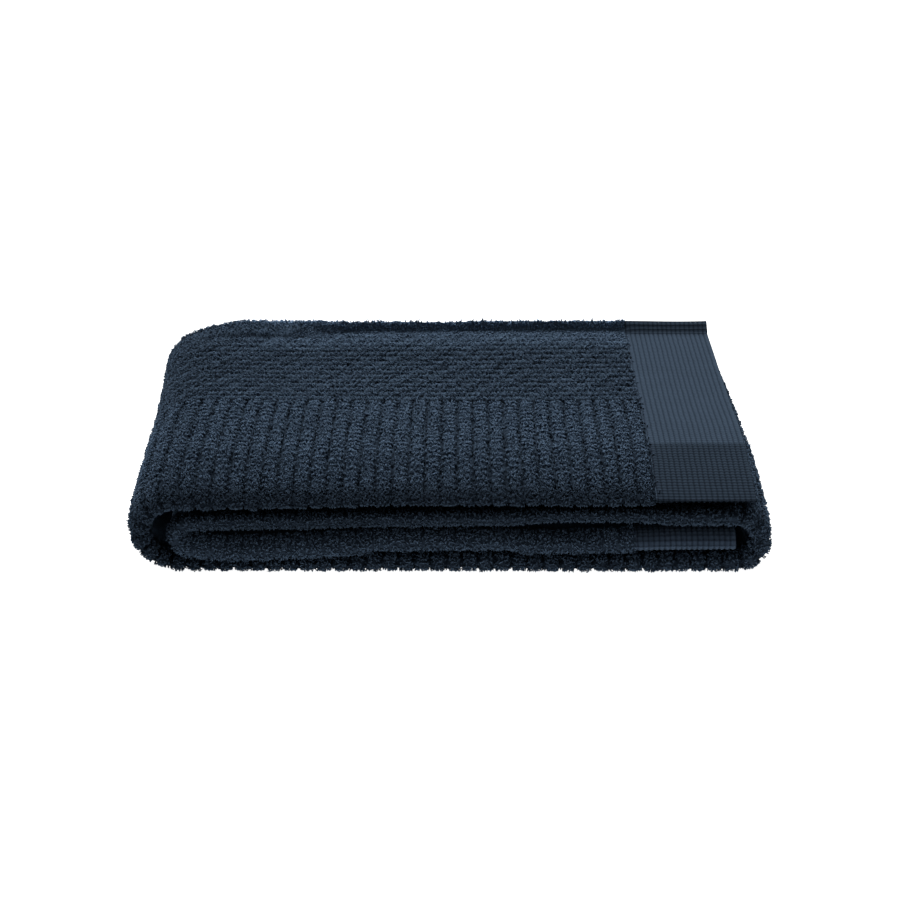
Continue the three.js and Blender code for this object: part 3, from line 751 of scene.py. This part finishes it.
def build_ground():
    """The closed cloth: its outer face, its back face, and the four edges between them. Returns
    its points, their places on the sheet and whether they are on the outer face, and its faces."""
    columns = INNER_COLUMNS + spread(-NOSE_SPAN, NOSE_SPAN, NOSE_COLUMN_STEP)
    columns += spread(NOSE_SPAN, HEAD_COLUMNS_START, CROSS_COLUMN_STEP)
    columns += spread(HEAD_COLUMNS_START, LONG_ZONE_START, HEAD_COLUMN_STEP)
    columns += spread(LONG_ZONE_START, HEM_START, LONG_COLUMN_STEP) + HEM_COLUMNS
    points, places, sheets = [], [], []
    count = 0
    for outer, chosen in ((True, columns), (False, BACK_COLUMNS)):
        lines = []
        for t in chosen:
            rows = rows_at(t) if outer else rows_at(-HALF_WIDTH)
            points.append(sheet_points(np.array(rows), np.full(len(rows), t), outer))
            places.append(np.stack(np.broadcast_arrays(rows, t, float(outer)), axis=1))
            lines.append((rows, count))
            count += len(rows)
        sheets.append((chosen, lines))
    (_, front), (_, back) = sheets
    faces = [(a, c, b) for a, b, c in zip_lines(front)]
    faces += zip_lines(back)
    faces += zip_lines([front[0], back[0]])
    faces += [(a, c, b) for a, b, c in zip_lines([front[-1], back[-1]])]
    for last in (False, True):
        ends = []
        for chosen, lines in sheets:
            ends.append((list(chosen), [first + (len(rows) - 1 if last else 0)
                                        for rows, first in lines]))
        faces += end_faces(*ends, last)
    return np.concatenate(points), np.concatenate(places), np.array(faces)


def write_sheet(made, values):
    """Each point's distance from the towel's end and from the front fold, in metres, and its
    painted shade, as a depth in the pile."""
    pattern = made.data.attributes.new("sheet", "FLOAT_VECTOR", "POINT")
    pattern.data.foreach_set("vector", values.astype(np.float32).ravel())


def flank(s, t):
    """0 on a rib's crest and 1 in the valley, for painted shade."""
    side, head, _ = rib_side(s, t)
    start, end = (np.where(np.abs(t) <= LONG_ZONE_START, *pair)
                  for pair in (FLANK_STARTS, FLANK_ENDS))
    return smooth(start, end, np.maximum(np.abs(side), head)) * rib_strength(s, t)


def with_painted_shade(depth, s, t):
    """A depth in the pile, which stands for painted shade, made deeper by the painted shade along
    the towel and shallower by its painted light.
    """
    return (1 - (1 - DEPTH_SHADE * depth) * (1 - painted_shade_and_light(s, t))) / DEPTH_SHADE


def lay_pattern(cloth, places, faces):
    """Writes the cloth's places on the sheet with their painted shade and light, and gives the band
    its own material.
    """
    s, t, outer = places.T
    # Painted shade of the ground, deeper on the ribs' flanks, with the painted shade and light
    # along the towel
    ground = with_painted_shade(mix(GROUND_DEPTH, 1, flank(s, t)), s, t)
    # Painted light on the bare ground in the hollows in front, painted shade behind
    bare = (t < -NOSE_SPAN) | ((t > NOSE_SPAN) & (s > ENDS["inner"][0]))
    hollow = mix(*BARE_DEPTHS, smooth(*BARE_FADE, np.abs(t)))
    ground = np.where(outer > 0, np.where(bare, hollow, ground), GROUND_DEPTH)
    # On the band, 1 marks the hidden band, which gets painted light
    depth = np.where(in_band(s), s > SHEET_LENGTH / 2, ground)
    from_end = np.minimum(s, SHEET_LENGTH - s)
    write_sheet(cloth, np.stack([from_end * METRES, t * METRES, depth], axis=1))
    woven_faces = in_band(s)[faces].any(axis=1)
    cloth.data.polygons.foreach_set("material_index", woven_faces.astype(np.int32))


# Pile: each tuft is a bent horn of yarn that rises out of the ground cloth and curls over
TUFT_FACES = np.array([
    (0, 1, 4), (0, 4, 3), (1, 2, 5), (1, 5, 4), (2, 0, 3), (2, 3, 5),
    (3, 4, 6), (4, 5, 6), (5, 3, 6), (0, 2, 1),
])


def patch(s_range, t_range, spacing, seed):
    """Places of tufts on a patch of the sheet: a jittered grid, ragged beside the bands."""
    own = np.random.default_rng(seed)
    across = max(1, round((s_range[1] - s_range[0]) / spacing))
    along = max(1, round((t_range[1] - t_range[0]) / spacing))
    s = np.linspace(*s_range, across + 1)[:-1] + spacing / 2
    t = np.linspace(*t_range, along + 1)[:-1] + spacing / 2
    s, t = np.meshgrid(s, t, indexing="ij")
    s = (s + own.uniform(-JITTER, JITTER, s.shape) * spacing).ravel()
    t = (t + own.uniform(-JITTER, JITTER, t.shape) * spacing).ravel()
    edge = BAND_WIDTH - EDGE_OVERLAP + RAGGED_EDGE * ragged(s, t)
    inside = (s > edge) & (s < SHEET_LENGTH - edge)
    inside &= np.abs(t) < HALF_WIDTH - SELVEDGE_GAP
    return s[inside], t[inside]


def grow(name, own, base, axes, lean, size, places, low, material):
    """One joined mesh of tufts. axes are each tuft's normal and the cloth's two directions, lean
    how far it lies along the two, size its length and rise, and low its painted shade, as a depth
    in the pile."""
    normal, along_s, along_t = axes
    lean = lean[0][:, None] * along_s + lean[1][:, None] * along_t
    side = np.cross(normal, lean)
    count = len(base)
    long, high = ((one * own.uniform(*TUFT_VARIES, count))[:, None] for one in size)
    thick = own.uniform(*TUFT_RADIUS, count)[:, None]
    root = base - ROOT_DEPTH * normal
    knee = base + high * normal + KNEE_REACH * long * lean
    tip = base + high * own.uniform(*TIP_RISES, count)[:, None] * normal + long * lean
    tip += side * long * own.uniform(-TIP_TURN, TIP_TURN, count)[:, None]
    points = []
    for centre, up, width in ((root, -lean, 1.0), (knee, normal, KNEE_WIDTH)):
        for corner in range(3):
            angle = 2 * np.pi * corner / 3
            out = math.cos(angle) * up + math.sin(angle) * side
            points.append(centre + thick * width * out)
    points.append(tip)
    points = np.stack(points, axis=1)
    points[:, :, 2] = np.maximum(points[:, :, 2], LOWEST_PILE)
    faces = (np.arange(count)[:, None, None] * 7 + TUFT_FACES[None]).reshape(-1, 3)
    made = mesh_object(name, points.reshape(-1, 3), faces, material)
    # Painted shade, darkest at a tuft's root and none at its tip, with the painted shade and light
    # along the towel
    depth = mix(np.repeat(TUFT_DEPTHS, (3, 3, 1))[None], 1, low[:, None])
    depth = with_painted_shade(depth, places[0][:, None], places[1][:, None]).ravel()
    write_sheet(made, np.stack([0 * depth, 0 * depth, depth], axis=1))
    print(name, count, "tufts", len(faces), "triangles")
    return made


def directions(own, count):
    turn = own.uniform(0, 2 * np.pi, count)
    return np.cos(turn), np.sin(turn)


def unit(vectors):
    return vectors / np.linalg.norm(vectors, axis=1, keepdims=True)


def tufts(name, patches, seed, material, tall=1.0):
    """Pile on patches of the sheet's outer face, tall times as long as elsewhere."""
    own = np.random.default_rng(seed)
    places = [patch(*one, seed=seed + k) for k, one in enumerate(patches)]
    s = np.concatenate([p[0] for p in places])
    t = np.concatenate([p[1] for p in places])
    side, head, _ = rib_side(s, t)
    grows = np.where(np.abs(t) <= LONG_ZONE_START, *BARE_VALLEYS)
    bare = (np.maximum(np.abs(side), head) > grows) & (rib_strength(s, t) > FULL_PILE)
    bare &= own.uniform(0, 1, len(s)) > BRIDGES
    s, t, side = s[~bare], t[~bare], side[~bare]
    base = sheet_points(s, t)
    along_s = sheet_points(s + SLOPE_STEP, t) - base
    normal = unit(np.cross(sheet_points(s, t + SLOPE_STEP) - base, along_s))
    along_s = unit(along_s)
    # Tufts beside a valley lean back to their rib, so that the valley stays open
    over, beside = directions(own, len(s))
    edge, crosswise = np.abs(side) > LEANS_FROM, np.abs(t) <= LONG_ZONE_START
    over = np.where(edge & crosswise, -np.sign(side) * np.abs(over), over)
    beside = np.where(edge & ~crosswise, -np.sign(side) * np.abs(beside), beside)
    deep = 1 - rib_share(s, t)
    length, rise = (tall * np.where(crosswise, *pair) for pair in (TUFT_LENGTHS, TUFT_RISES))
    return grow(name, own, base, (normal, along_s, np.cross(along_s, normal)), (over, beside),
                (length * (1 - VALLEY_LOSS[0] * deep), rise * (1 - VALLEY_LOSS[1] * deep)),
                (s, t), FLANK_DEPTH * flank(s, t), material)


def edge_tufts(name, seed, material):
    """Pile that closes the edges of the two selvedges, which both face backwards."""
    own = np.random.default_rng(seed)
    length = SHEET_LENGTH - 2 * BAND_WIDTH
    count = round(2 * length * TERRY_THICKNESS / EDGE_SPACING ** 2)
    s = BAND_WIDTH + length * own.uniform(0, 1, count)
    t = HALF_WIDTH * own.choice([-1.0, 1.0], count)
    outer = sheet_points(s, t)
    base = mix(outer, sheet_points(s, t, outer=False), own.uniform(0, 1, count)[:, None])
    normal = np.tile((0.0, 1.0, 0.0), (count, 1))
    along_s = unit((sheet_points(s + SLOPE_STEP, t) - outer) * np.array([1, 0, 1]))
    return grow(name, own, base, (normal, along_s, np.cross(along_s, normal)),
                directions(own, count), np.outer(EDGE_TUFTS, np.ones(count)), (s, t),
                np.full(count, EDGE_LOW), material)


def under_tufts(name, s_range, t_range, seed, material):
    """Pile on the sheet's back face, where the raised selvedge shows it."""
    own = np.random.default_rng(seed)
    s, t = patch(s_range, t_range, EDGE_SPACING, seed)
    base = sheet_points(s, t, outer=False)
    along_s = sheet_points(s + SLOPE_STEP, t, outer=False) - base
    normal = unit(np.cross(along_s, sheet_points(s, t + SLOPE_STEP, outer=False) - base))
    along_s = unit(along_s)
    return grow(name, own, base, (normal, along_s, np.cross(along_s, normal)),
                directions(own, len(s)), np.outer(EDGE_TUFTS, np.ones(len(s))), (s, t),
                np.full(len(s), UNDER_LOW), material)


# Materials
def node(tree, kind, **values):
    made = tree.nodes.new(kind)
    for key, value in values.items():
        if key in made.inputs:
            made.inputs[key].default_value = value
        else:
            setattr(made, key, value)
    return made


def math_node(tree, operation, *values):
    """A Math node whose inputs are numbers or other nodes' outputs. Returns its output."""
    made = node(tree, "ShaderNodeMath", operation=operation)
    for place, value in enumerate(values):
        if isinstance(value, (int, float)):
            made.inputs[place].default_value = value
        else:
            tree.links.new(value, made.inputs[place])
    return made.outputs[0]


def noise(tree, scale, detail, roughness):
    place = node(tree, "ShaderNodeTexCoord")
    made = node(tree, "ShaderNodeTexNoise", Scale=scale, Detail=detail, Roughness=roughness)
    tree.links.new(place.outputs["Object"], made.inputs["Vector"])
    return made.outputs["Fac"]


def fabric(name, dark, light, sheen, shade_and_height):
    """A matt cloth: fine mottled colour between dark and light, dimmed by painted shade and lifted
    by painted light, with a soft sheen and a fine bump."""
    material = bpy.data.materials.new(name)
    material.use_nodes = True
    tree = material.node_tree
    shader = tree.nodes["Principled BSDF"]
    for key, value in FABRIC_LOOK.items():
        shader.inputs[key].default_value = value
    mottle = math_node(tree, "MULTIPLY_ADD", noise(tree, *BROAD_NOISE), BROAD_SHARE,
                       noise(tree, *FINE_NOISE))
    ramp = node(tree, "ShaderNodeValToRGB")
    for stop, position, color in zip(ramp.color_ramp.elements, MOTTLE_ENDS, (dark, light)):
        stop.position = position
        stop.color = (*color, 1)
    tree.links.new(mottle, ramp.inputs["Fac"])
    shade, height, depth = shade_and_height(tree)
    dimmed = node(tree, "ShaderNodeVectorMath", operation="SCALE")
    tree.links.new(ramp.outputs["Color"], dimmed.inputs[0])
    tree.links.new(shade, dimmed.inputs["Scale"])
    tree.links.new(dimmed.outputs["Vector"], shader.inputs["Base Color"])
    tree.links.new(math_node(tree, "MULTIPLY", shade, sheen), shader.inputs["Sheen Weight"])
    bump = node(tree, "ShaderNodeBump", Strength=BUMP_STRENGTH, Distance=depth)
    tree.links.new(height, bump.inputs["Height"])
    tree.links.new(bump.outputs["Normal"], shader.inputs["Normal"])
    return material


def sheet_place(tree):
    """Distance from the towel's end, distance from the front fold, and painted shade as a depth in
    the pile, which is 0 on the band that is on top and 1 on the other band."""
    split = node(tree, "ShaderNodeSeparateXYZ")
    pattern = node(tree, "ShaderNodeAttribute", attribute_name="sheet")
    tree.links.new(pattern.outputs["Vector"], split.inputs[0])
    return split.outputs


def lines(tree, direction, period):
    """Soft bands on the sheet, 0 in the middle of each groove and 1 between two grooves."""
    wave = node(tree, "ShaderNodeTexWave", wave_type="BANDS", bands_direction=direction,
                wave_profile="SIN", Scale=WAVE_PERIOD / period, Distortion=WEAVE_WANDER)
    pattern = node(tree, "ShaderNodeAttribute", attribute_name="sheet")
    tree.links.new(pattern.outputs["Vector"], wave.inputs["Vector"])
    return wave.outputs["Fac"]


def terry_look(tree):
    """Painted shade, darker the deeper it lies in the pile, and fuzzy."""
    shade = math_node(tree, "MULTIPLY_ADD", sheet_place(tree)[2], -DEPTH_SHADE, 1.0)
    return shade, noise(tree, *FUZZ_NOISE), FUZZ_DEPTH


def woven_look(tree):
    """Painted shade in the grooves across the towel, fine cross threads, which show most at the
    front fold, painted shade on the band on top in front of its crease, and painted light on the
    hidden band.
    """
    groove = math_node(tree, "POWER", math_node(tree, "SUBTRACT", 1.0,
                                                lines(tree, "X", BAND_PITCH * METRES)),
                       GROOVE_SHARPNESS)
    thread = math_node(tree, "POWER", math_node(tree, "SUBTRACT", 1.0,
                                                lines(tree, "Y", THREAD_PITCH)),
                       THREAD_SHARPNESS)
    _, t, hidden = sheet_place(tree)
    behind = node(tree, "ShaderNodeMapRange", interpolation_type="SMOOTHSTEP")
    behind.inputs["From Min"].default_value, behind.inputs["From Max"].default_value = CREASE_T
    behind.inputs["To Min"].default_value, behind.inputs["To Max"].default_value = 1.0, 0.0
    tree.links.new(t, behind.inputs["Value"])
    front = behind.outputs["Result"]
    # Painted shade in the grooves
    shade = math_node(tree, "MULTIPLY_ADD", groove, -GROOVE_SHADE, 1.0)
    everywhere, added = THREADS_SHOWN
    amount = math_node(tree, "MULTIPLY_ADD", front, THREAD_SHADE * added,
                       THREAD_SHADE * everywhere)
    threads = math_node(tree, "SUBTRACT", 1.0, math_node(tree, "MULTIPLY", thread, amount))
    shade = math_node(tree, "MULTIPLY", shade, threads)
    # Painted shade on the band on top in front of its crease
    shown = math_node(tree, "MULTIPLY", front, math_node(tree, "SUBTRACT", 1.0, hidden))
    painted_crease_shade = math_node(tree, "MULTIPLY_ADD", shown, -CREASE_SHADE, 1.0)
    height = math_node(tree, "MULTIPLY_ADD", noise(tree, *YARN_NOISE), YARN_SHARE,
                       math_node(tree, "SUBTRACT", 1.0, thread))
    # Painted light on the hidden band
    lit = math_node(tree, "MULTIPLY_ADD", hidden, FAR_BAND_PAINTED_LIGHT, 1.0)
    shade = math_node(tree, "MULTIPLY", math_node(tree, "MULTIPLY", shade, painted_crease_shade), lit)
    return shade, height, FUZZ_DEPTH


terry = fabric("terry", TERRY_DARK, TERRY_LIGHT, TERRY_SHEEN, terry_look)
woven = fabric("woven", WOVEN_DARK, WOVEN_LIGHT, WOVEN_SHEEN, woven_look)

# How far the patches of pile lap over the band's edge, where they are cut ragged. They meet so far
# before and behind the left fold, and so far on both sides of the right one.
BAND_LAP = 4
LEFT_MARGINS = (8, 6)
RIGHT_MARGIN = 4
# Where they start at the front fold, on the top and around the left
TOP_PILE_START = -8
LEFT_PILE_START = -16
# The raised selvedge's own pile laps over the band's edge, and goes so far around the left fold
RIM_BAND_LAP = 2
RIM_PILE_END = 24

# The cloth and its pile
points, places, faces = build_ground()
cloth = mesh_object("towel_cloth", points, faces, terry)
cloth.data.materials.append(woven)
lay_pattern(cloth, places, faces)
print("towel_cloth", len(faces), "triangles")

top_end, left_end = ENDS["left"]
right_start, right_end = ENDS["right"]
field_end = SHEET_LENGTH - BAND_WIDTH
on_top = (BAND_WIDTH - BAND_LAP, top_end - LEFT_MARGINS[0])
around_left = (top_end - LEFT_MARGINS[0], left_end + LEFT_MARGINS[1])
around_right = (right_start - RIGHT_MARGIN, right_end + RIGHT_MARGIN)
below = (left_end + LEFT_MARGINS[1], field_end)
rim_end = top_end + RIM_PILE_END
cross_spacing, long_spacing = PILE_SPACINGS
pieces = [
    tufts("pile_cross_ribs", [(on_top, (TOP_PILE_START, LONG_ZONE_START), cross_spacing)],
          11, terry),
    tufts("pile_long_ribs", [(on_top, (LONG_ZONE_START, HALF_WIDTH), long_spacing)], 12, terry),
    tufts("pile_left_side", [(around_left, (LEFT_PILE_START, HALF_WIDTH), cross_spacing)],
          13, terry),
    tufts("pile_front_folds", [(below, (-NOSE_PILE, NOSE_PILE), cross_spacing)], 14, terry),
    tufts("pile_right_side", [(around_right, (NOSE_PILE, HALF_WIDTH), cross_spacing)], 15, terry),
    tufts("pile_back_edges", [
        (below, (HALF_WIDTH - BACK_PILE, HALF_WIDTH), BACK_SPACING),
        ((BAND_WIDTH, field_end), (-HALF_WIDTH, -HALF_WIDTH + BACK_PILE), BACK_SPACING),
    ], 16, terry),
    tufts("pile_rim", [
        ((BAND_WIDTH - RIM_BAND_LAP, rim_end), (HALF_WIDTH - RIM_WIDTHS[0], HALF_WIDTH),
         RIM_SPACING),
    ], 17, terry, tall=RIM_PILE),
    edge_tufts("pile_selvedges", 18, terry),
    under_tufts("pile_under_rim", (BAND_WIDTH, rim_end), (HALF_WIDTH - BACK_PILE, HALF_WIDTH),
                19, terry),
]
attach(cloth, "root")
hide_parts("towel")
for piece in pieces:
    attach(piece, "root")
total = len(faces) + sum(len(piece.data.polygons) for piece in pieces)
print("triangles in all", total)

# Camera and light, in metres and degrees, the lens and its sensor in millimetres
CAMERA_PLACE = (SHIFT_X * METRES, -1.761, 0.540)
CAMERA_TILT = 16.4
CAMERA_LENS = 120
SENSOR_WIDTH = 36
KEY_TOWARDS = (-0.12, 0.80, 0.59)
KEY_POWER = 8.6
KEY_WIDTH = 45
FLOOR_REACH = 8
FLOOR_LOOK = {"Base Color": (0.5, 0.5, 0.5, 1), "Roughness": 0.9,
              "Emission Color": (1, 1, 1, 1), "Emission Strength": 1.0}
SKY_POWER = 0.15

camera = bpy.data.objects.new("camera", bpy.data.cameras.new("camera"))
camera.data.lens = CAMERA_LENS
camera.data.sensor_width = SENSOR_WIDTH
camera.location = CAMERA_PLACE
camera.rotation_euler = (math.radians(90 - CAMERA_TILT), 0, 0)
bpy.context.scene.collection.objects.link(camera)
bpy.context.scene.camera = camera
bpy.context.scene.view_settings.view_transform = "Standard"


def soft_sun(name, towards, power, width):
    light = bpy.data.objects.new(name, bpy.data.lights.new(name, "SUN"))
    light.data.energy = power
    light.data.angle = math.radians(width)
    light.rotation_euler = Vector(towards).to_track_quat("Z", "Y").to_euler()
    bpy.context.scene.collection.objects.link(light)


# Wide soft light from above and behind, on a floor that glows white, as a light table does
soft_sun("key", KEY_TOWARDS, KEY_POWER, KEY_WIDTH)

floor = bpy.data.objects.new("floor", bpy.data.meshes.new("floor"))
corners = [(x * FLOOR_REACH, y * FLOOR_REACH, 0) for x, y in ((-1, -1), (1, -1), (1, 1), (-1, 1))]
floor.data.from_pydata(corners, [], [(0, 1, 2, 3)])
bpy.context.scene.collection.objects.link(floor)
pale = bpy.data.materials.new("pale_floor")
pale.use_nodes = True
for name, value in FLOOR_LOOK.items():
    pale.node_tree.nodes["Principled BSDF"].inputs[name].default_value = value
floor.data.materials.append(pale)

world = bpy.data.worlds.new("world")
world.use_nodes = True
world.node_tree.nodes["Background"].inputs["Color"].default_value = (1, 1, 1, 1)
world.node_tree.nodes["Background"].inputs["Strength"].default_value = SKY_POWER
bpy.context.scene.world = world
